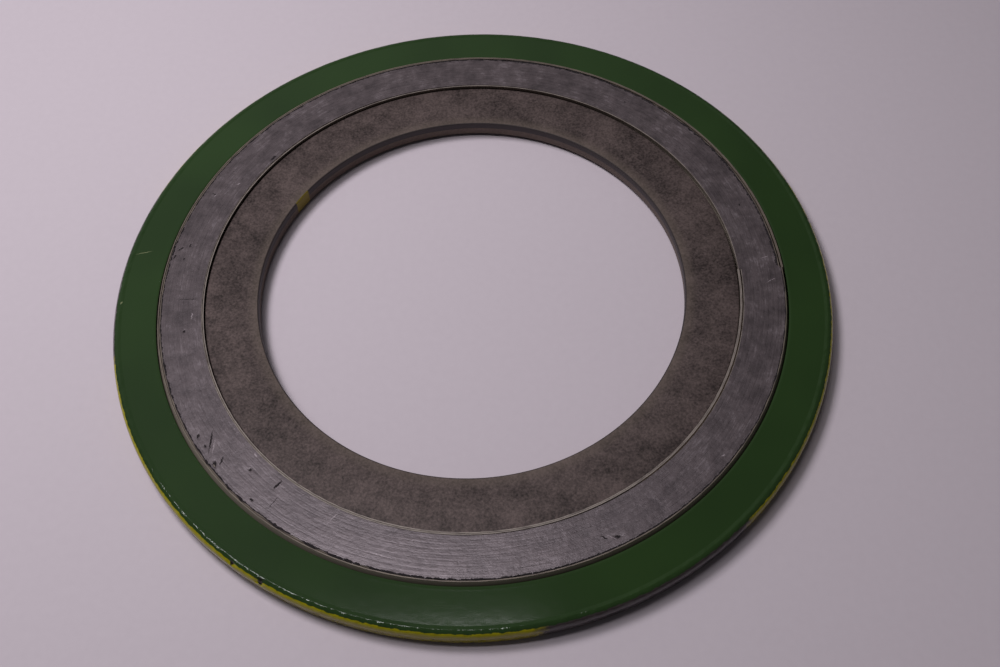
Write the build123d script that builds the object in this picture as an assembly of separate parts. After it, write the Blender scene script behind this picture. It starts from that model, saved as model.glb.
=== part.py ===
from build123d import *
import os

# A spiral wound gasket for a raised-face pipe flange, in millimetres.
# The origin is the centre of the lower sealing face, and +Z is the axis of the pipe.
#
# A thin steel strip, pressed to a V across its width, is wound on itself as a spiral
# with a soft graphite strip between its turns. A few plain plies of the steel, with no
# filler, are spot-welded at the inside and the outside. The crown of the V snaps into a
# groove in the outer ring, and the inner ring's edge sits in the hollow of the V.

# --- radii, from the bore outwards, measured where the V meets the winding's faces ---
BORE_D = 81.4               # the flow passage
INNER_RING_WIDTH = 10.1     # bore to the winding's first ply, which is then 101.6 across
OUTER_RING_WIDTH = 8.67     # the winding's last ply, 119.2 across, to the rim, 136.5 across

# --- the winding ---
STRIP_WIDTH = 4.45          # along the axis: the gasket's nominal thickness
STRIP_THICKNESS = 0.2
CROWN = 0.75                # how far the V bulges outwards at mid height
PLAIN_PLIES = 2             # where the filler starts or ends beside them; more elsewhere
TURNS = 8                   # whole turns with the filler at its full thickness
FILLER_THICKNESS = 0.71
FILLER_TIP = 0.25           # the filler's thickness at each of its cut ends
FILLER_PROUD = 0.08         # how far the filler stands past the steel at each face

# --- the rings, midway up the winding ---
RING_THICKNESS = 3.2
GROOVE_CLEARANCE = 0.1      # radially, from the crown to the outer ring's groove
HOLLOW_CLEARANCE = 0.3      # radially, from the inner ring's edge to the hollow of the V
RIM_CHAMFER = 0.5
BORE_CHAMFER = 0.3
SHOULDER_CHAMFER = 0.25     # where the inner ring's faces meet its bevelled edge

# --- worked out from those ---
r_bore = BORE_D / 2
r_first_ply = r_bore + INNER_RING_WIDTH
height = STRIP_WIDTH + 2 * FILLER_PROUD
mid = height / 2
steel_span = (FILLER_PROUD, FILLER_PROUD + STRIP_WIDTH)
filler_span = (0, height)
ring_span = (mid - RING_THICKNESS / 2, mid + RING_THICKNESS / 2)


def bulge(z):
    """How far the V stands outwards at height z: CROWN at mid height, nothing at the faces."""
    return CROWN * (1 - abs(z - mid) / (STRIP_WIDTH / 2))


def spiral_radii():
    """The radii of the strip's inner side where it crosses the X axis, twice a turn."""
    plies = PLAIN_PLIES * STRIP_THICKNESS
    pitch = STRIP_THICKNESS + FILLER_THICKNESS
    leaves_plies = r_first_ply + plies - STRIP_THICKNESS
    first = leaves_plies + STRIP_THICKNESS + FILLER_TIP
    last = first + TURNS * pitch
    joins_plies = last + STRIP_THICKNESS + FILLER_TIP
    whole_turns = [first + pitch * n / 2 for n in range(2 * TURNS + 1)]
    start = [leaves_plies, (leaves_plies + first) / 2]
    end = [(last + joins_plies) / 2, joins_plies]
    return start + whole_turns + end


crossings = spiral_radii()
half_turns = len(crossings) - 1
r_last_ply = crossings[-1] + PLAIN_PLIES * STRIP_THICKNESS
r_rim = r_last_ply + OUTER_RING_WIDTH

# A spiral of half circles: each is centred on the X axis, midway between its two
# crossings, so it leaves the one before in line with it. An arc is (radius, centre's X).
bore_side = (r_first_ply, 0)
crown_side = (r_last_ply, 0)


def strip_inside(k):
    """The arc of the strip's inner side on half turn k."""
    near, far = crossings[k], crossings[k + 1]
    return (near + far) / 2, (-1) ** k * (near - far) / 2


def strip_outside(k):
    """The arc of the strip's outer side on half turn k."""
    radius, x = strip_inside(k)
    return radius + STRIP_THICKNESS, x


def half_disc(k, arc, span):
    """A half disc with the V round its rim. Even half turns lie on +Y, and odd ones on -Y."""
    radius, x = arc
    low, high = span
    rim = [(radius + bulge(z), z) for z in (low, mid, high)]
    outline = Polyline((0, low), *rim, (0, high), close=True)
    half = revolve(Plane.XZ * make_face(outline), Axis.Z, 180)
    return Pos(x, 0, 0) * Rot(Z=180 * (k % 2)) * half


def between(k, outer, inner, span):
    """What lies between two arcs on half turn k."""
    return half_disc(k, outer, span) - half_disc(k, inner, span)


def make_winding_strip():
    """The steel strip: plain plies at the bore side, the spiral, and plain plies at the crown."""
    pieces = []
    for k in range(half_turns):
        in_first_plies = k < 2
        in_last_plies = k >= half_turns - 2
        inner = bore_side if in_first_plies else strip_inside(k)
        outer = crown_side if in_last_plies else strip_outside(k)
        pieces.append(between(k, outer, inner, steel_span))
    return Part() + pieces


def make_filler_strip():
    """The graphite strip, which fills the spiral from each turn of steel to the next."""
    pieces = []
    for k in range(2, half_turns):
        pieces.append(between(k, strip_inside(k), strip_outside(k - 2), filler_span))
    return Part() + pieces


def make_outer_ring():
    """The centring ring, with a V groove that holds the winding's crown."""
    low, high = ring_span
    groove = [(r_last_ply + GROOVE_CLEARANCE + bulge(z), z) for z in (high, mid, low)]
    section = make_face(Polyline((r_rim, low), (r_rim, high), *groove, close=True))
    section = chamfer(section.vertices().group_by(Axis.X)[-1], RIM_CHAMFER)
    return revolve(Plane.XZ * section, Axis.Z)


def make_inner_ring():
    """The inner ring, whose edge is bevelled both ways to sit in the hollow of the V."""
    low, high = ring_span
    edge = [(r_first_ply - HOLLOW_CLEARANCE + bulge(z), z) for z in (low, mid, high)]
    section = make_face(Polyline((r_bore, low), *edge, (r_bore, high), close=True))
    corners = section.vertices().group_by(Axis.X)
    section = chamfer(corners[0], BORE_CHAMFER)
    shoulders = section.vertices().group_by(Axis.X)[-2]
    section = chamfer(shoulders, SHOULDER_CHAMFER)
    return revolve(Plane.XZ * section, Axis.Z)


pieces = {
    "outer_ring": make_outer_ring(),
    "inner_ring": make_inner_ring(),
    "winding_strip": make_winding_strip(),
    "filler_strip": make_filler_strip(),
}

os.makedirs("parts", exist_ok=True)
for name, piece in pieces.items():
    export_step(piece, f"parts/{name}.step")
    print(name, len(piece.solids()), "solid,", len(piece.faces()), "faces,", round(piece.volume), "mm3")
print(f"winding {2 * r_first_ply:.2f} to {2 * r_last_ply:.2f} across, rim {2 * r_rim:.2f}, height {height:.2f}")
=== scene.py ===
# %% [markdown]
# # A spiral wound gasket
# This gasket seals a bolted pipe joint. A V-shaped steel strip and a ribbon of graphite are wound up
# together, and two flat rings hold the winding: a painted one round the outside centres it between the
# bolts, and a bare one keeps it from buckling into the pipe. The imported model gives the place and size
# of all four. Here each is modelled again with what its plain solid lacks: rolled edges, a ragged
# graphite face, paint and wear.

# %% Load the fixed frame
import math

import bpy
import numpy as np
from mathutils import Matrix, Vector, noise


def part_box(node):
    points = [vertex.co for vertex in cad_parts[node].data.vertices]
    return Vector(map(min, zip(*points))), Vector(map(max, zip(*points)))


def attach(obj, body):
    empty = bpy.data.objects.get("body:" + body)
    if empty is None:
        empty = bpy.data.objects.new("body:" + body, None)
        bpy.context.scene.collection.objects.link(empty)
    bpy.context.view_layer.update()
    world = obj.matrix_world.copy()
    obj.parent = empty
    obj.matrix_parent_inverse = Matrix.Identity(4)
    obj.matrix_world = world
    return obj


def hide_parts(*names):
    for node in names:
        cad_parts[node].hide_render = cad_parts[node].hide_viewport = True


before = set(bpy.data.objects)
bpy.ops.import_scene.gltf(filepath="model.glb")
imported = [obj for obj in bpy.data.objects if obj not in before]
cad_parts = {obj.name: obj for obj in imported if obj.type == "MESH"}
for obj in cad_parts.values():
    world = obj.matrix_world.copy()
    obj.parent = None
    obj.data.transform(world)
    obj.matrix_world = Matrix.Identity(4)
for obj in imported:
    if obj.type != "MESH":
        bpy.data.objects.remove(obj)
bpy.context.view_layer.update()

MM = 0.001
print("nodes:", sorted(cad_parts))

# %% [markdown]
# ## Sizes
# Blender works in metres, and a gasket is measured in millimetres, so sizes are kept in millimetres and
# multiplied by MM where they are used. Heights and the rim come from the boxes of the model's nodes. The
# few that no box gives, such as how thick the strip is, are the standard sizes of a 3 inch gasket. Radii
# of the winding are taken at its faces, where its V is narrowest; at mid height it stands out by CROWN.

# %% Sizes in millimetres
RING_LOW, RING_HIGH = (corner[2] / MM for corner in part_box("outer_ring"))
STEEL_LOW, STEEL_HIGH = (corner[2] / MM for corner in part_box("winding_strip"))
R_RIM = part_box("outer_ring")[1][0] / MM
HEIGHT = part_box("filler_strip")[1][2] / MM
MID = HEIGHT / 2
R_BORE = 40.7
R_FIRST_PLY = 50.8
R_LAST_PLY = 59.58
STRIP = 0.2
FILLER = 0.71
FILLER_TIP = 0.25
TURNS = 8
CROWN = 0.75
print(f"rim {R_RIM:.2f}, faces 0 to {HEIGHT:.2f}, rings {RING_LOW:.3f} to {RING_HIGH:.3f}")


def bulge(z):
    """How far the V of the winding stands outwards at height z."""
    return CROWN * (1 - abs(z - MID) / (MID - STEEL_LOW))


# %% [markdown]
# ## Colours and shader nodes
# A colour is picked as the eye sees it, an sRGB hex value, but a shader reckons in linear light, so one
# function turns the one into the other. A material is a tree of nodes, and one more function adds a node,
# sets it and links it, which keeps each material short enough to read.


# %% Helpers for colours and shader nodes
def linear(colour):
    """An sRGB hex colour as linear red, green, blue and an alpha of one."""
    parts = [int(colour[i:i + 2], 16) / 255 for i in (0, 2, 4)]
    return [c / 12.92 if c <= 0.04045 else ((c + 0.055) / 1.055) ** 2.4 for c in parts] + [1.0]


def add_node(tree, kind, inputs=None, **settings):
    """Adds a shader node. A socket is named or numbered, and gets a value or another node's output."""
    node = tree.nodes.new("ShaderNode" + kind)
    for name, value in settings.items():
        setattr(node, name, value)
    for name, value in (inputs or {}).items():
        if isinstance(value, bpy.types.NodeSocket):
            tree.links.new(value, node.inputs[name])
        else:
            node.inputs[name].default_value = value
    return node


def new_material(name):
    """An empty material and its node tree."""
    material = bpy.data.materials.new(name)
    material.use_nodes = True
    material.node_tree.nodes.clear()
    return material, material.node_tree


def per_mm(size):
    """The scale of a pattern whose grains are this many millimetres across."""
    return 1 / (size * MM)


# %% [markdown]
# ## Patterns that know they are on a ring
# Everything here runs round one axis, so a pattern often asks how far out a point is, which way it lies
# and how high. All of that comes from Object coordinates, which hold still when the gasket is turned or
# seen from behind. A scar is one scratch or pit: the point is moved into the scratch's own frame, and
# whatever is less than one half length from its middle is inside.


# %% Helpers for patterns
MID_WINDING = 56  # mm from the axis, about half way across the winding


def ring_frame(tree):
    """Where a point lies on the gasket: its place, its radius in mm, its direction and its height in mm."""
    place = add_node(tree, "TexCoord").outputs["Object"]
    flat = add_node(tree, "VectorMath", {0: place, 1: (1000, 1000, 0)}, operation="MULTIPLY").outputs[0]
    radius = add_node(tree, "VectorMath", {0: flat}, operation="LENGTH").outputs["Value"]
    direction = add_node(tree, "VectorMath", {0: flat}, operation="NORMALIZE").outputs[0]
    height = add_node(tree, "VectorMath", {
        0: place, 1: (0, 0, 1000)}, operation="DOT_PRODUCT").outputs["Value"]
    return place, radius, direction, height


def streaks(tree, radius, direction, along, across):
    """A vector for a pattern drawn out round the ring: its grains are so many mm along and across."""
    round_it = add_node(tree, "VectorMath", {
        0: direction, "Scale": MID_WINDING / along}, operation="SCALE").outputs[0]
    outward = add_node(tree, "Math", {0: radius, 1: 1 / across}, operation="MULTIPLY").outputs[0]
    stack = add_node(tree, "CombineXYZ", {"Z": outward}).outputs[0]
    return add_node(tree, "VectorMath", {0: round_it, 1: stack}, operation="ADD").outputs[0]


def shaken(tree, place, grain, reach):
    """The place moved about at random by up to half the reach in mm, so that what it draws is ragged."""
    colour = add_node(tree, "TexNoise", {
        "Vector": place, "Scale": per_mm(grain), "Detail": 2.0}).outputs["Color"]
    shift = add_node(tree, "VectorMath", {0: colour, 1: (0.5, 0.5, 0.5)}, operation="SUBTRACT").outputs[0]
    shift = add_node(tree, "VectorMath", {0: shift, "Scale": reach * MM}, operation="SCALE").outputs[0]
    return add_node(tree, "VectorMath", {0: place, 1: shift}, operation="ADD").outputs[0]


def scars(tree, place, marks):
    """A mask that is one in the scratches. A mark is its degrees, radius, length, width and heading."""
    mask = None
    for at, radius, length, width, heading in marks:
        at = math.radians(at)
        middle = (radius * math.cos(at) * MM, radius * math.sin(at) * MM, 0)
        local = add_node(tree, "Mapping", {
            "Vector": place, "Location": middle, "Rotation": (0, 0, at + math.radians(90 - heading)),
            "Scale": (length / 2 * MM, width / 2 * MM, 1)}, vector_type="TEXTURE").outputs[0]
        away = add_node(tree, "VectorMath", {0: local}, operation="LENGTH").outputs["Value"]
        inside = add_node(tree, "MapRange", {0: away, 1: 1.1, 2: 0.6}).outputs[0]
        mask = inside if mask is None else add_node(tree, "Math", {
            0: mask, 1: inside}, operation="MAXIMUM").outputs[0]
    return mask


# %% [markdown]
# ## Green enamel
# The outer ring is carbon steel, stamped from sheet and sprayed with an alkyd enamel against rust. Wet
# enamel flows out nearly flat, so it is glossy, with a faint orange peel a millimetre or two across that
# breaks up a highlight at the rolled rim. The colour drifts a little with the paint's thickness. The edge
# has a colour code on it: yellow for a strip of 304 stainless, and grey bars for a graphite filler. Both
# are brushed on, so their borders are ragged. The code could be a second material on the rim's faces, but
# a mask by radius follows the brush and not the mesh.

# %% Material: green enamel
EDGE_BARS_AT, EDGE_BARS, EDGE_BAR_HALF = 295, 3, 0.30  # degrees, how many, half a bar in radians
CODE_BORDER = R_RIM - 0.78  # the furthest in that the brush reached
PAINT_NICKS = [(170.7, 64.9, 3.4, 0.14, 70), (181.0, 66.9, 0.7, 0.35, 30)]
CHIPS = [(232.7, 67.8, 0.9, 0.7, 0), (237.8, 67.8, 1.2, 0.9, 0)]

green_enamel, tree = new_material("green_enamel")
place, radius, direction, height = ring_frame(tree)
drift = add_node(tree, "TexNoise", {"Vector": place, "Scale": per_mm(22), "Detail": 2.0}).outputs["Fac"]
tone = add_node(tree, "MapRange", {0: drift, 1: 0.3, 2: 0.7}).outputs[0]
green = add_node(tree, "Mix", {
    0: tone, 6: linear("213319"), 7: linear("263A1C")}, data_type="RGBA").outputs[2]

ragged = add_node(tree, "TexNoise", {"Vector": place, "Scale": per_mm(1.2), "Detail": 3.0}).outputs["Fac"]
border = add_node(tree, "Math", {0: ragged, 1: 0.5, 2: CODE_BORDER}, operation="MULTIPLY_ADD").outputs[0]
past = add_node(tree, "Math", {0: radius, 1: border}, operation="SUBTRACT").outputs[0]
on_edge = add_node(tree, "MapRange", {0: past, 1: -0.03, 2: 0.05}).outputs[0]
bar = None
for n in range(EDGE_BARS):
    at = math.radians(EDGE_BARS_AT + 360 * n / EDGE_BARS)
    facing = add_node(tree, "VectorMath", {
        0: direction, 1: (math.cos(at), math.sin(at), 0)}, operation="DOT_PRODUCT").outputs["Value"]
    bar = facing if bar is None else add_node(tree, "Math", {
        0: facing, 1: bar}, operation="MAXIMUM").outputs[0]
rough_end = add_node(tree, "Math", {0: ragged, 1: 0.02, 2: bar}, operation="MULTIPLY_ADD").outputs[0]
in_bar = add_node(tree, "MapRange", {
    0: rough_end, 1: math.cos(EDGE_BAR_HALF) + 0.006, 2: math.cos(EDGE_BAR_HALF) + 0.016}).outputs[0]
code = add_node(tree, "Mix", {
    0: in_bar, 6: linear("90860E"), 7: linear("3E3637")}, data_type="RGBA").outputs[2]
colour = add_node(tree, "Mix", {0: on_edge, 6: green, 7: code}, data_type="RGBA").outputs[2]
nicks = scars(tree, shaken(tree, place, 0.6, 0.3), PAINT_NICKS)
worn = add_node(tree, "Math", {0: nicks, 1: 0.35}, operation="MULTIPLY").outputs[0]
colour = add_node(tree, "Mix", {0: worn, 6: colour, 7: linear("B4B48C")}, data_type="RGBA").outputs[2]

chipped = scars(tree, shaken(tree, place, 0.5, 0.5), CHIPS)
colour = add_node(tree, "Mix", {0: chipped, 6: colour, 7: linear("201C18")}, data_type="RGBA").outputs[2]

peel = add_node(tree, "TexNoise", {"Vector": place, "Scale": per_mm(1.8), "Detail": 3.0}).outputs["Fac"]
at_rim = add_node(tree, "MapRange", {0: radius, 1: R_RIM - 1.8, 2: R_RIM - 1.2, 3: 0.05, 4: 1.0}).outputs[0]
peel = add_node(tree, "Math", {0: peel, 1: at_rim}, operation="MULTIPLY").outputs[0]
bump = add_node(tree, "Bump", {"Height": peel, "Strength": 1.0, "Distance": 0.24 * MM}).outputs[0]
shader = add_node(tree, "BsdfPrincipled", {"Base Color": colour, "Roughness": 0.1, "Normal": bump})
add_node(tree, "OutputMaterial", {"Surface": shader.outputs[0]})

# %% [markdown]
# ## Tumbled stainless steel
# The inner ring is bare 304 stainless, stamped and then tumbled with others in a drum of grit until its
# burrs are gone. That leaves no shine and no direction: a grey-brown, faintly pink surface with fine
# pock marks half a millimetre across, inside soft patches where rings rubbed on each other. So it is a
# rough metal that is mostly scatter, and a fine noise gives both its colour and its bump. A dab of yellow
# paint in the bore marks the steel's grade.

# %% Material: tumbled stainless steel
DAB_AT, DAB_HALF = math.radians(146), math.radians(2.7)
SHEARED_TO = 2.5  # the height above which the bore's wall is sheared clean

tumbled_stainless, tree = new_material("tumbled_stainless")
place, radius, direction, height = ring_frame(tree)
patches = add_node(tree, "TexNoise", {
    "Vector": place, "Scale": per_mm(7), "Detail": 4.0, "Roughness": 0.7}).outputs["Fac"]
grain = add_node(tree, "TexNoise", {
    "Vector": place, "Scale": per_mm(0.45), "Detail": 3.0, "Roughness": 0.7}).outputs["Fac"]
mixed = add_node(tree, "Math", {0: grain, 1: 1.1, 2: patches}, operation="MULTIPLY_ADD").outputs[0]
mottle = add_node(tree, "MapRange", {0: mixed, 1: 0.78, 2: 1.32}).outputs[0]
steel = add_node(tree, "Mix", {
    0: mottle, 6: linear("302828"), 7: linear("6A5B5A")}, data_type="RGBA").outputs[2]
rubbed = add_node(tree, "MapRange", {
    0: radius, 1: R_BORE + 2.4, 2: R_BORE + 0.4, 3: 0.0, 4: 0.4}).outputs[0]
steel = add_node(tree, "Mix", {0: rubbed, 6: steel, 7: linear("766860")}, data_type="RGBA").outputs[2]
# The bore's wall: the dark colour of the sheared upper band is a painted reflection of dark surroundings,
# and the lighter brown of the torn lower band is partly the torn steel's own colour and partly painted
# light bounced up from the floor.
inside = add_node(tree, "MapRange", {0: radius, 1: R_BORE + 0.3, 2: R_BORE + 0.14}).outputs[0]
torn = add_node(tree, "Mix", {
    0: grain, 6: linear("40352F"), 7: linear("7A695E")}, data_type="RGBA").outputs[2]
sheared_and_painted_dark = add_node(tree, "MapRange", {0: height, 1: SHEARED_TO - 0.2, 2: SHEARED_TO + 0.1}).outputs[0]
bore_wall_with_painted_light = add_node(tree, "Mix", {0: sheared_and_painted_dark, 6: torn, 7: linear("3C3536")}, data_type="RGBA").outputs[2]
steel = add_node(tree, "Mix", {0: inside, 6: steel, 7: bore_wall_with_painted_light}, data_type="RGBA").outputs[2]
facing = add_node(tree, "VectorMath", {
    0: direction, 1: (math.cos(DAB_AT), math.sin(DAB_AT), 0)}, operation="DOT_PRODUCT").outputs["Value"]
brushed = add_node(tree, "Math", {0: grain, 1: 0.0004, 2: facing}, operation="MULTIPLY_ADD").outputs[0]
dab = add_node(tree, "MapRange", {
    0: brushed, 1: math.cos(DAB_HALF) + 0.0001, 2: math.cos(DAB_HALF) + 0.0003}).outputs[0]
dab = add_node(tree, "Math", {0: dab, 1: inside}, operation="MULTIPLY").outputs[0]
dab = add_node(tree, "Math", {0: dab, 1: 0.75}, operation="MULTIPLY").outputs[0]
steel = add_node(tree, "Mix", {0: dab, 6: steel, 7: linear("8A7A14")}, data_type="RGBA").outputs[2]
bump = add_node(tree, "Bump", {"Height": grain, "Strength": 0.7, "Distance": 0.04 * MM}).outputs[0]
shader = add_node(tree, "BsdfPrincipled", {
    "Base Color": steel, "Metallic": 0.35, "Roughness": 0.55, "Normal": bump})
add_node(tree, "OutputMaterial", {"Surface": shader.outputs[0]})

# %% [markdown]
# ## Cold rolled strip
# The winding strip is 304 stainless, rolled thin and bright, then run through a V-shaped roller, which
# leaves a pale, slightly satin steel. Where its edge shows from above it is sheared, not rolled, and a
# film of graphite has smeared over it, so the last plies are brown and grey. The first plies are painted
# paler, partly because little graphite reached them and partly as a painted reflection of their bright
# edges. The film is drawn out round the ring, as the graphite was when the winding turned under the roller.

# %% Material: cold rolled strip
cold_rolled_strip, tree = new_material("cold_rolled_strip")
place, radius, direction, height = ring_frame(tree)
smear = add_node(tree, "TexNoise", {
    "Vector": streaks(tree, radius, direction, 2.5, 0.25),
    "Scale": 1.0, "Detail": 3.0, "Roughness": 0.6}).outputs["Fac"]
# The first plies are paler: partly less graphite, partly a painted reflection of their bright edges.
outwards = add_node(tree, "MapRange", {0: radius, 1: R_FIRST_PLY + 2, 2: R_LAST_PLY - 2}).outputs[0]
edge = add_node(tree, "Mix", {
    0: outwards, 6: linear("958984"), 7: linear("7A6E66")}, data_type="RGBA").outputs[2]
film = add_node(tree, "MapRange", {0: smear, 1: 0.45, 2: 0.65, 3: 0.0, 4: 0.6}).outputs[0]
edge = add_node(tree, "Mix", {0: film, 6: edge, 7: linear("4A4040")}, data_type="RGBA").outputs[2]
on_top = add_node(tree, "MapRange", {0: height, 1: STEEL_HIGH - 0.12, 2: STEEL_HIGH - 0.06}).outputs[0]
metal = add_node(tree, "Mix", {0: on_top, 6: linear("B4A59A"), 7: edge}, data_type="RGBA").outputs[2]
shader = add_node(tree, "BsdfPrincipled", {"Base Color": metal, "Metallic": 0.3, "Roughness": 0.4})
add_node(tree, "OutputMaterial", {"Surface": shader.outputs[0]})

# %% [markdown]
# ## Flexible graphite
# The filler is a ribbon pressed from expanded graphite flakes. Flakes lie flat under pressure, so the
# face is dark grey with a pearly, purplish sheen, and where the winding was dressed the sheen breaks into
# fine streaks that run round it. Paler streaks in its colour are partly burnished graphite and partly a
# painted sheen. Graphite bends light strongly, which is why its index of refraction is high. It is also
# soft: handling leaves dark gouges, and a few scratches that are burnished bright. Along the outer edge
# the ribbon is torn. The mesh says where, in an attribute that is one at the very edge, and a noise eats
# it away from there. The tear is painted near black, partly for its crumbled flakes and partly as painted
# shade in the gap between the torn head and the last plies. Flakes in a gouge or a tear no longer lie
# flat, so they mirror nothing.

# %% Marks in the graphite: degrees, radius, length, width, heading from the tangent
GOUGES = [
    (189.2, 54.5, 0.7, 0.50, 20),
    (181.6, 54.1, 4.0, 0.10, 92),
    (169.5, 57.6, 1.4, 0.40, 40),
    (168.5, 56.0, 0.8, 0.40, 0),
    (171.8, 56.3, 0.6, 0.35, 0),
    (171.4, 58.3, 1.1, 0.45, 20),
    (212.2, 57.7, 1.0, 0.45, 40),
    (214.7, 57.6, 0.9, 0.35, 20),
    (214.5, 56.4, 4.6, 0.26, 38),
    (219.0, 56.9, 1.9, 0.28, 55),
    (218.7, 58.1, 1.4, 0.55, 25),
    (224.0, 54.3, 0.6, 0.50, 0),
    (230.1, 53.1, 2.3, 0.34, 95),
    (231.8, 55.9, 2.6, 0.10, 90),
    (228.5, 57.9, 1.0, 0.35, 0),
    (155.0, 56.8, 1.0, 0.16, 90),
    (140.7, 51.9, 1.9, 0.60, 0),
    (291.5, 56.8, 1.3, 0.26, 55),
    (293.6, 57.6, 1.2, 0.45, 20),
    (16.0, 55.8, 0.45, 0.40, 0),
    (52.7, 55.6, 0.40, 0.35, 0),
]
SCRATCHES = [
    (215.6, 56.4, 3.4, 0.12, 40),
    (222.4, 51.9, 1.0, 0.30, 10),
    (242.7, 53.3, 2.9, 0.14, 104),
    (244.8, 55.4, 2.4, 0.12, 10),
    (253.0, 56.6, 6.0, 0.14, 2),
    (292.6, 57.2, 2.0, 0.14, 50),
    (317.5, 57.6, 1.0, 0.16, 30),
    (357.0, 56.8, 2.4, 0.12, 60),
    (2.5, 56.4, 1.8, 0.14, 80),
    (155.3, 56.4, 1.0, 0.14, 20),
    (150.6, 53.7, 0.9, 0.18, 30),
    (185.8, 53.0, 1.6, 0.30, 5),
]

# %% Material: flexible graphite
flexible_graphite, tree = new_material("flexible_graphite")
place, radius, direction, height = ring_frame(tree)
fine = add_node(tree, "TexNoise", {
    "Vector": streaks(tree, radius, direction, 4.0, 0.34),
    "Scale": 1.0, "Detail": 3.0, "Roughness": 0.6}).outputs["Fac"]
cloud = add_node(tree, "TexNoise", {
    "Vector": place, "Scale": per_mm(3), "Detail": 4.0, "Roughness": 0.65}).outputs["Fac"]
blend = add_node(tree, "Math", {0: fine, 1: 0.5, 2: cloud}, operation="MULTIPLY_ADD").outputs[0]
tone = add_node(tree, "MapRange", {0: blend, 1: 0.55, 2: 0.95}).outputs[0]
grey = add_node(tree, "Mix", {
    0: tone, 6: linear("322B2D"), 7: linear("544A4D")}, data_type="RGBA").outputs[2]
# Pale streaks drawn out round the ring: partly burnished graphite and partly a painted sheen.
flecks = add_node(tree, "TexNoise", {
    "Vector": streaks(tree, radius, direction, 2.2, 0.28),
    "Scale": 1.0, "Detail": 3.0, "Roughness": 0.7}).outputs["Fac"]
flecks = add_node(tree, "Math", {0: cloud, 1: 0.8, 2: flecks}, operation="MULTIPLY_ADD").outputs[0]
burnish_and_sheen = add_node(tree, "MapRange", {0: flecks, 1: 1.0, 2: 1.15, 3: 0.0, 4: 0.35}).outputs[0]
grey = add_node(tree, "Mix", {0: burnish_and_sheen, 6: grey, 7: linear("857B82")}, data_type="RGBA").outputs[2]
# The torn outer edge is painted near black: partly crumbled graphite, partly painted shade in the gap
# between the torn head and the last plies.
frayed_and_gap_shade = add_node(tree, "Attribute", attribute_name="torn_edge").outputs["Fac"]
crumbs = add_node(tree, "TexNoise", {
    "Vector": place, "Scale": per_mm(0.8), "Detail": 4.0, "Roughness": 0.7}).outputs["Fac"]
frayed_and_gap_shade = add_node(tree, "Math", {0: crumbs, 1: 2.4, 2: frayed_and_gap_shade}, operation="MULTIPLY_ADD").outputs[0]
frayed_and_gap_shade = add_node(tree, "MapRange", {0: frayed_and_gap_shade, 1: 1.78, 2: 1.9}).outputs[0]
grey = add_node(tree, "Mix", {0: frayed_and_gap_shade, 6: grey, 7: linear("0C0A0B")}, data_type="RGBA").outputs[2]
ragged_place = shaken(tree, place, 0.35, 0.5)
gouged = scars(tree, ragged_place, GOUGES)
scratched = scars(tree, ragged_place, SCRATCHES)
grey = add_node(tree, "Mix", {0: scratched, 6: grey, 7: linear("8C8086")}, data_type="RGBA").outputs[2]
grey = add_node(tree, "Mix", {0: gouged, 6: grey, 7: linear("0C0A0B")}, data_type="RGBA").outputs[2]
bump = add_node(tree, "Bump", {"Height": fine, "Strength": 1.0, "Distance": 0.035 * MM}).outputs[0]
bump = add_node(tree, "Bump", {
    "Height": cloud, "Strength": 1.0, "Distance": 0.12 * MM, "Normal": bump}).outputs[0]
crumbled = add_node(tree, "Math", {0: gouged, 1: frayed_and_gap_shade}, operation="MAXIMUM").outputs[0]
dull = add_node(tree, "MapRange", {0: crumbled, 3: 0.40, 4: 1.0}).outputs[0]
sunk = add_node(tree, "Math", {0: crumbled, 1: -1.0}, operation="MULTIPLY").outputs[0]
bump = add_node(tree, "Bump", {
    "Height": sunk, "Strength": 0.8, "Distance": 0.08 * MM, "Normal": bump}).outputs[0]
shader = add_node(tree, "BsdfPrincipled", {
    "Base Color": grey, "IOR": 2.3, "Roughness": dull,
    "Specular Tint": (1.0, 0.86, 0.95, 1.0), "Normal": bump})
add_node(tree, "OutputMaterial", {"Surface": shader.outputs[0]})

# %% [markdown]
# ## Tools for the mesh
# A ring is a section turned round an axis. So each of the first three pieces starts as a rectangle's
# outline, standing on the X axis, whose corners are moved, divided and rounded in edit mode, and which is
# then spun. An operator acts on whatever is selected, so each helper first picks its points by place.


# %% Helpers for modelling
def edit(obj):
    """Makes this the only object at work, in edit mode."""
    bpy.ops.object.select_all(action="DESELECT")
    obj.select_set(True)
    bpy.context.view_layer.objects.active = obj
    bpy.ops.object.mode_set(mode="EDIT")
    bpy.ops.mesh.select_mode(type="VERT")


def near(a, b):
    """True where two lengths are the same to a few thousandths of a millimetre."""
    return np.abs(a - b) < 0.004


def pick(obj, test):
    """Selects, in edit mode, the vertices whose place in millimetres passes a test."""
    bpy.ops.mesh.select_all(action="DESELECT")
    bpy.ops.object.mode_set(mode="OBJECT")
    places = np.empty(len(obj.data.vertices) * 3)
    obj.data.vertices.foreach_get("co", places)
    x, y, z = places.reshape(-1, 3).T / MM
    obj.data.vertices.foreach_set("select", test(x, y, z))
    bpy.ops.object.mode_set(mode="EDIT")


def start_outline(name, r_in, r_out, z_low, z_high):
    """A rectangle's outline that stands on the X axis, as a ring's section does, left in edit mode."""
    bpy.ops.object.select_all(action="DESELECT")
    bpy.ops.mesh.primitive_plane_add(
        size=1, location=((r_in + r_out) / 2 * MM, 0, (z_low + z_high) / 2 * MM),
        rotation=(math.pi / 2, 0, 0),
    )
    section = bpy.context.object
    section.name = section.data.name = name
    section.scale = ((r_out - r_in) * MM, (z_high - z_low) * MM, 1)
    bpy.ops.object.transform_apply(location=True, rotation=True, scale=True)
    edit(section)
    bpy.ops.mesh.select_all(action="SELECT")
    bpy.ops.mesh.delete(type="ONLY_FACE")
    return section


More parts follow.
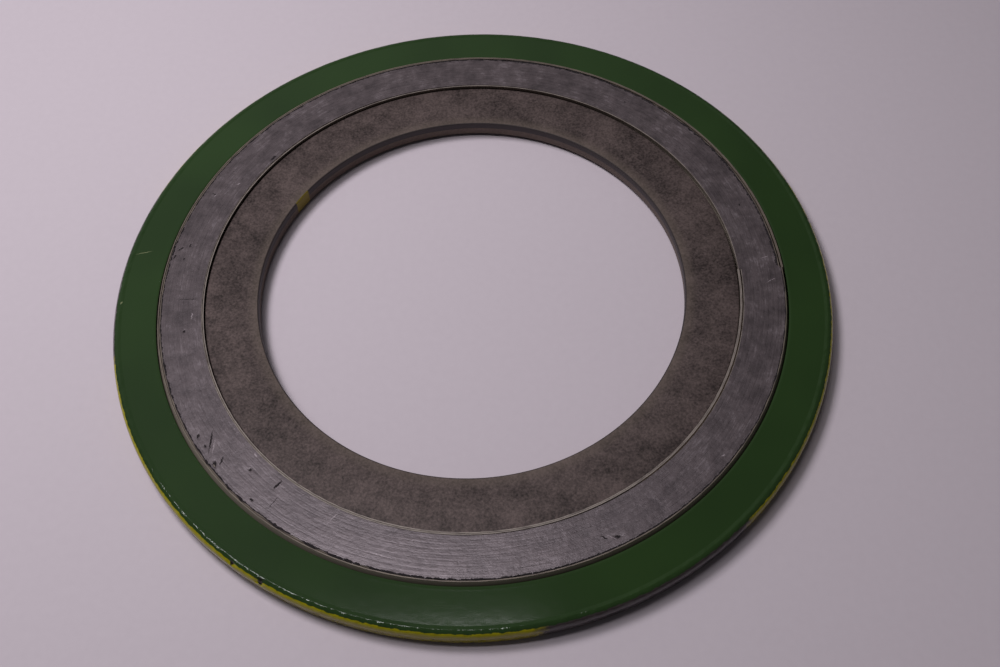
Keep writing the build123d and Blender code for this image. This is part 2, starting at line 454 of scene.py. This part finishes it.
def move_point(obj, a, place):
    """Moves one of the outline's points, each given as (radius, height)."""
    pick(obj, lambda x, y, z: near(x, a[0]) & near(z, a[1]))
    bpy.ops.transform.translate(value=((place[0] - a[0]) * MM, 0, (place[1] - a[1]) * MM))


def add_point(obj, a, b, place):
    """Divides the outline's side from a to b and moves the new point to its place."""
    pick(obj, lambda x, y, z: (near(x, a[0]) & near(z, a[1])) | (near(x, b[0]) & near(z, b[1])))
    bpy.ops.mesh.subdivide(number_cuts=1)
    move_point(obj, ((a[0] + b[0]) / 2, (a[1] + b[1]) / 2), place)


def round_corner(obj, a, width, segments):
    """Rounds one of the outline's corners. The width is straight across the rounding."""
    pick(obj, lambda x, y, z: near(x, a[0]) & near(z, a[1]))
    bpy.ops.mesh.bevel(offset=width * MM, segments=segments, affect="VERTICES", offset_type="WIDTH")


def spin_round(obj, steps):
    """Turns the outline once round the Z axis into a closed ring, and stays in edit mode."""
    bpy.ops.mesh.select_all(action="SELECT")
    bpy.ops.mesh.spin(steps=steps, angle=2 * math.pi, center=(0, 0, 0), axis=(0, 0, 1))
    bpy.ops.mesh.select_all(action="SELECT")
    bpy.ops.mesh.remove_doubles(threshold=0.001 * MM)
    bpy.ops.mesh.normals_make_consistent(inside=False)


def finish_piece(obj, material, node, angle):
    """Smooths a finished piece, gives it its material, hangs it on the root body and hides the imported
    node it takes the place of.
    """
    bpy.ops.object.mode_set(mode="OBJECT")
    bpy.ops.object.shade_smooth_by_angle(angle=math.radians(angle))
    obj.data.materials.clear()
    obj.data.materials.append(material)
    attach(obj, "root")
    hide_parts(node)
    triangles = sum(len(face.vertices) - 2 for face in obj.data.polygons)
    print(obj.name, "has", triangles, "triangles")


# %% [markdown]
# ## The outer ring
# It is stamped from 3.2 mm sheet. The punch drags the sheet's upper edge down as it goes through, so the
# rim has a wide soft roll on top and a sharper corner below. In the inner edge is a groove, in which the
# V of the last winding turn sits, and beside it the wet paint drew up into a low bead. A torus or a
# bevelled cylinder could stand in for it, but a spun outline gives each of these its own radius.

# %% Outer ring
ROUND_STEPS = 720
GROOVE_GAP = 0.1
RIM_ROLL, LOWER_CORNER = 1.9, 0.45
BEAD = 0.03
LIP = R_LAST_PLY + GROOVE_GAP + bulge(RING_HIGH)

outer = start_outline("centring_ring", LIP, R_RIM, RING_LOW, RING_HIGH)
add_point(outer, (LIP, RING_LOW), (LIP, RING_HIGH), (R_LAST_PLY + GROOVE_GAP + CROWN, MID))
for face, up, corner, segments in ((RING_HIGH, 1, RIM_ROLL, 12), (RING_LOW, -1, LOWER_CORNER, 4)):
    add_point(outer, (LIP, face), (R_RIM, face), (LIP + 1.1, face))
    add_point(outer, (LIP, face), (LIP + 1.1, face), (LIP + 0.55, face + up * BEAD))
    round_corner(outer, (LIP + 0.55, face + up * BEAD), 0.3, 3)
    round_corner(outer, (LIP, face), 0.22, 3)
    round_corner(outer, (R_RIM, face), corner, segments)
spin_round(outer, ROUND_STEPS)

# %% [markdown]
# ## Chips in the rim
# A ring that is dropped or stacked on others loses flecks at its edge. Each chip here is a handful of
# the rim's own points pushed in, which keeps the surface closed. It could be cut out with a boolean, but
# at half a millimetre that would only leave slivers.

# %% Chips in the rim
for at, radius, size, _, _ in CHIPS:
    at, depth = math.radians(at), size / 5
    chip = (radius * math.cos(at), radius * math.sin(at), RING_HIGH - 0.5)
    pick(outer, lambda x, y, z: (
        (x - chip[0]) ** 2 + (y - chip[1]) ** 2 + (z - chip[2]) ** 2 < (size / 2) ** 2))
    bpy.ops.transform.translate(value=(-depth * math.cos(at) * MM, -depth * math.sin(at) * MM, -depth * MM))
finish_piece(outer, green_enamel, "outer_ring", 50)

# %% [markdown]
# ## The inner ring
# This one is stamped too, and its bore shows how: the upper part of the wall was sheared clean, and below
# it the steel tore, so the lower part is set back and rougher. Tumbling has rounded the corners. Its outer
# edge stands out in a V of its own that fits inside the winding's first turn.

# %% Inner ring
HOLLOW_GAP = 0.3
TORN_FROM = SHEARED_TO - 0.25
EDGE = R_FIRST_PLY - HOLLOW_GAP + bulge(RING_HIGH)

inner = start_outline("tumbled_ring", R_BORE, EDGE, RING_LOW, RING_HIGH)
add_point(inner, (EDGE, RING_LOW), (EDGE, RING_HIGH), (R_FIRST_PLY - HOLLOW_GAP + CROWN, MID))
add_point(inner, (R_BORE, RING_LOW), (R_BORE, RING_HIGH), (R_BORE, SHEARED_TO))
add_point(inner, (R_BORE, RING_LOW), (R_BORE, SHEARED_TO), (R_BORE + 0.09, TORN_FROM))
move_point(inner, (R_BORE, RING_LOW), (R_BORE + 0.13, RING_LOW))
round_corner(inner, (R_BORE, RING_HIGH), 0.45, 5)
round_corner(inner, (R_BORE + 0.13, RING_LOW), 0.2, 3)
for face in (RING_LOW, RING_HIGH):
    round_corner(inner, (EDGE, face), 0.25, 3)
spin_round(inner, ROUND_STEPS)
finish_piece(inner, tumbled_stainless, "inner_ring", 50)

# %% [markdown]
# ## The path of the winding
# A winding machine lays the strip on itself, so it creeps outwards by its own thickness and the
# filler's in each turn. That path is a spiral, and a good one is made of half circles: each has its
# middle on the X axis and is a little larger than the last. So it is enough to list where the strip
# crosses that axis. The strip starts with two plies on top of each other, welded, and ends the same way.

# %% Where the strip crosses the X axis
PITCH = STRIP + FILLER
leaves = R_FIRST_PLY + STRIP
first = leaves + STRIP + FILLER_TIP
last = first + TURNS * PITCH
joins = last + STRIP + FILLER_TIP
crossings = [R_FIRST_PLY, R_FIRST_PLY + STRIP / 2, leaves, (leaves + first) / 2]
crossings += [first + PITCH * n / 2 for n in range(2 * TURNS + 1)]
crossings += [(last + joins) / 2, joins, joins + STRIP / 2, joins + STRIP]
print("the strip crosses the X axis at", [round(c, 3) for c in crossings])

# %% [markdown]
# ## The steel strip
# Its section is a thin V that points outwards, rounded where the roller bent it. It is spun through one
# half turn after another, each about its own middle, so the strip comes out as one unbroken sheet, as the
# real one is. The screw modifier makes a spiral too, but only one that climbs along its axis.

# %% Steel strip
HALF_TURN_STEPS = 60
WALL = STRIP * 0.97  # a hair thinner than its pitch, so that two plies side by side don't share a face

strip = start_outline("steel_strip", R_FIRST_PLY, R_FIRST_PLY + WALL, STEEL_LOW, STEEL_HIGH)
for side in (R_FIRST_PLY, R_FIRST_PLY + WALL):
    add_point(strip, (side, STEEL_LOW), (side, STEEL_HIGH), (side + CROWN, MID))
    round_corner(strip, (side + CROWN, MID), 0.6, 2)
bpy.ops.mesh.select_all(action="SELECT")
for k in range(len(crossings) - 1):
    centre_x = (-1) ** k * (crossings[k] - crossings[k + 1]) / 2
    bpy.ops.mesh.spin(steps=HALF_TURN_STEPS, angle=math.pi, center=(centre_x * MM, 0, 0), axis=(0, 0, 1))
bpy.ops.mesh.select_all(action="SELECT")
bpy.ops.mesh.fill_holes(sides=16)
bpy.ops.mesh.select_all(action="SELECT")
bpy.ops.mesh.normals_make_consistent(inside=False)
finish_piece(strip, cold_rolled_strip, "winding_strip", 35)

# %% [markdown]
# ## The path of the graphite
# The ribbon fills the room between two turns of steel, so its walls follow the same half circles. It is
# wider than the strip and is pressed over the strip's edges, which is what seals. Operators can't make a
# wall whose thickness tapers along a spiral, so this piece is worked out point by point. Slices are
# closer together where the face was dented, so that the dents are round.

# %% The graphite's path
filler_crossings = np.array(crossings[2:-2])
filler_turns = (len(filler_crossings) - 3) / 2
COARSE, FINE = 1 / 600, 1 / 1500
DENTED = ((185, 192), (205, 245), (289, 295))


def spiral_radius(radii, turn):
    """How far from the axis the spiral is, so many turns on: arcs about two centres on the X axis."""
    k = np.minimum((turn * 2).astype(int), len(radii) - 2)
    r = (radii[k] + radii[k + 1]) / 2
    x = (-1.0) ** k * (radii[k] - radii[k + 1]) / 2
    angle = 2 * math.pi * turn
    return x * np.cos(angle) + np.sqrt(r * r - (x * np.sin(angle)) ** 2)


in_turn = [0.0]
while in_turn[-1] < 1:
    fine_here = any(low < in_turn[-1] * 360 < high for low, high in DENTED)
    in_turn.append(in_turn[-1] + (FINE if fine_here else COARSE))
in_turn = np.array(in_turn[:-1])
turn = np.concatenate([in_turn + n for n in range(int(filler_turns))] + [[filler_turns]])
angle = 2 * math.pi * turn
inner_wall = spiral_radius(filler_crossings, turn) + STRIP
outer_wall = spiral_radius(filler_crossings[2:], turn)
print("graphite:", filler_turns, "turns,", len(in_turn), "slices to a turn")

# %% [markdown]
# ## The graphite ribbon
# Its section is a T: a stem between the plies, and a head that covers half of each ply's edge, where
# it all but meets the head of the next turn. The line between two heads is what shows the winding from
# above. The outermost head is torn along its edge, so its points are pushed in and out there, and each
# carries how near it is to the edge for the material. The larger gouges sink the face itself, and the
# material adds what is finer than the mesh.

# %% Graphite ribbon
OVER = STRIP / 2 - 0.006
SINK = 0.09
ROLL_OFF = 0.06
DEEP = [mark for mark in GOUGES if mark[3] >= 0.4 and any(low < mark[0] < high for low, high in DENTED)]
# A point of the section: how far past the wall, how far across, how far below the face, and which face.
HEAD = [(-OVER, 0, 0.003), (-OVER + 0.05, 0, 0), (0, 0.3, 0), (0, 0.5, 0), (0, 0.7, 0.001),
        (OVER - 0.05, 1, 0.002), (OVER, 1, 0.006)]
# How near to the torn edge each of the head's points is, by how far past the wall and how far across.
EDGE_SHARE = {(0, 0.3): 0.35, (0, 0.5): 0.6, (0, 0.7): 0.8, (OVER - 0.05, 1): 0.9, (OVER, 1): 1.0}
section = [(past, across, HEIGHT - drop, 1) for past, across, drop in HEAD]
section += [(0, 1, MID, 0)]
section += [(past, across, drop, -1) for past, across, drop in (HEAD[6], HEAD[3], HEAD[0])]
section += [(0, 0, MID, 0)]

last_turn = np.clip(turn - (filler_turns - 1), 0, 1) > 0
torn = np.array([noise.noise(Vector((30 * math.cos(a), 30 * math.sin(a), t))) for a, t in zip(angle, turn)])
columns, edge_share = [], []
for past, across, z, face in section:
    radius = inner_wall + (outer_wall - inner_wall) * across + past + (bulge(z) if face == 0 else 0)
    if face == 1 and past >= OVER - 0.08 and across == 1:
        radius = radius + np.where(last_turn, 0.2 * torn - 0.06, 0)
    x, y = radius * np.cos(angle), radius * np.sin(angle)
    if face == 1:
        z = z - ROLL_OFF * np.clip((radius - 56.4) / 3, 0, 1) ** 2
    sunk = np.zeros_like(x)
    for at, r, length, width, heading in DEEP if face == 1 else ():
        at, heading = math.radians(at), math.radians(heading)
        away_x, away_y = x - r * math.cos(at), y - r * math.sin(at)
        outwards = away_x * math.cos(at) + away_y * math.sin(at)
        along = away_y * math.cos(at) - away_x * math.sin(at)
        u = along * math.cos(heading) + outwards * math.sin(heading)
        v = outwards * math.cos(heading) - along * math.sin(heading)
        sunk = np.maximum(sunk, SINK * np.exp(-((2 * u / length) ** 2) - (1.6 * v / width) ** 2))
    columns.append(np.stack([x, y, z - sunk], axis=1))
    edge_share.append(np.where(last_turn, EDGE_SHARE.get((past, across), 0), 0) if face == 1 else 0 * x)
points = np.stack(columns, axis=1)
index = np.arange(points.shape[0] * points.shape[1]).reshape(points.shape[:2])
this, following = index[:-1], index[1:]
quads = np.stack([this, following, np.roll(following, -1, 1), np.roll(this, -1, 1)], axis=-1).reshape(-1, 4)
mesh = bpy.data.meshes.new("graphite_strip")
mesh.from_pydata(
    (points.reshape(-1, 3) * MM).tolist(), [],
    quads.tolist() + [index[0].tolist(), index[-1][::-1].tolist()])
torn_edge = mesh.attributes.new("torn_edge", "FLOAT", "POINT")
torn_edge.data.foreach_set("value", np.stack(edge_share, axis=1).ravel())
ribbon = bpy.data.objects.new("graphite_strip", mesh)
bpy.context.scene.collection.objects.link(ribbon)
edit(ribbon)
bpy.ops.mesh.select_all(action="SELECT")
bpy.ops.mesh.normals_make_consistent(inside=False)
finish_piece(ribbon, flexible_graphite, "filler_strip", 60)

# %% [markdown]
# ## The floor
# The gasket lies on a sheet of matt card, pale and faintly pink. It is stage, not part of the gasket, so
# it is one large plane. A fine noise keeps it from looking like plastic.

# %% Material: floor card
floor_card, tree = new_material("floor_card")
place = add_node(tree, "TexCoord").outputs["Object"]
fibres = add_node(tree, "TexNoise", {"Vector": place, "Scale": per_mm(1.5), "Detail": 3.0}).outputs["Fac"]
card = add_node(tree, "Mix", {
    0: fibres, 6: linear("BDB1BB"), 7: linear("C2B6C0")}, data_type="RGBA").outputs[2]
shader = add_node(tree, "BsdfPrincipled", {"Base Color": card, "Roughness": 0.9})
add_node(tree, "OutputMaterial", {"Surface": shader.outputs[0]})

# %% Floor
bpy.ops.object.select_all(action="DESELECT")
bpy.ops.mesh.primitive_plane_add(size=6.0, location=(0, 0, 0))
floor = bpy.context.object
floor.name = "floor"
floor.data.materials.append(floor_card)

# %% [markdown]
# ## Light
# A soft window light from the far left draws the short shadows at the lower right. A strip light overhead
# is what the rim and the graphite mirror, so the window is kept out of reflections: it would put a second
# highlight on the left of the rim. The world fills the rest. Together they light a surface at about the
# level at which its colour was written.


# %% Lights
def soft_box(name, place, aim, size, watts):
    """A rectangular area light. Its place, aim and size are in millimetres."""
    bpy.ops.object.light_add(type="AREA", location=[p * MM for p in place])
    lamp = bpy.context.object
    lamp.name = name
    lamp.data.shape = "RECTANGLE"
    lamp.data.size, lamp.data.size_y = [s * MM for s in size]
    lamp.data.energy = watts
    towards = Vector([a - p for a, p in zip(aim, place)])
    lamp.rotation_euler = towards.to_track_quat("-Z", "Y").to_euler()
    return lamp


window = soft_box("window", (-150, 105, 326), (0, 0, 0), (120, 120), 0.95)
window.visible_glossy = False
soft_box("strip_light", (-140, -2, 400), (-140, -2, 0), (320, 44), 0.45)
world = bpy.data.worlds.new("room")
bpy.context.scene.world = world
world.use_nodes = True
tree = world.node_tree
look = add_node(tree, "TexCoord").outputs["Generated"]
side = add_node(tree, "VectorMath", {
    0: look, 1: (-0.47, 0.67, 0.57)}, operation="DOT_PRODUCT").outputs["Value"]
level = add_node(tree, "MapRange", {0: side, 1: 0.7, 2: 0.95, 3: 0.05, 4: 0.2}).outputs[0]
room = tree.nodes["Background"]
room.inputs[0].default_value = (1, 1, 1, 1)
tree.links.new(level, room.inputs[1])

# %% [markdown]
# ## The camera
# It looks down at the gasket from the near side, a little rolled, as one holds a camera by hand. Its
# place is written as the point it is aimed at, how far off it is and how steeply it looks down.

# %% Camera
ELEVATION, TILT = math.radians(58.03), math.radians(-2.50)
AIM = (5.04, -9.34, 0.0)
DISTANCE = 208.54
bpy.ops.object.camera_add()
camera = bpy.context.object
camera.data.sensor_width = 36.0
camera.data.lens = 39.54
camera.data.clip_start = 0.01
camera.matrix_world = (
    Matrix.Translation([a * MM for a in AIM])
    @ Matrix.Rotation(math.pi / 2 - ELEVATION, 4, "X")
    @ Matrix.Rotation(TILT, 4, "Z")
    @ Matrix.Translation((0, 0, DISTANCE * MM))
)
bpy.context.scene.camera = camera
bpy.context.scene.view_settings.view_transform = "Standard"
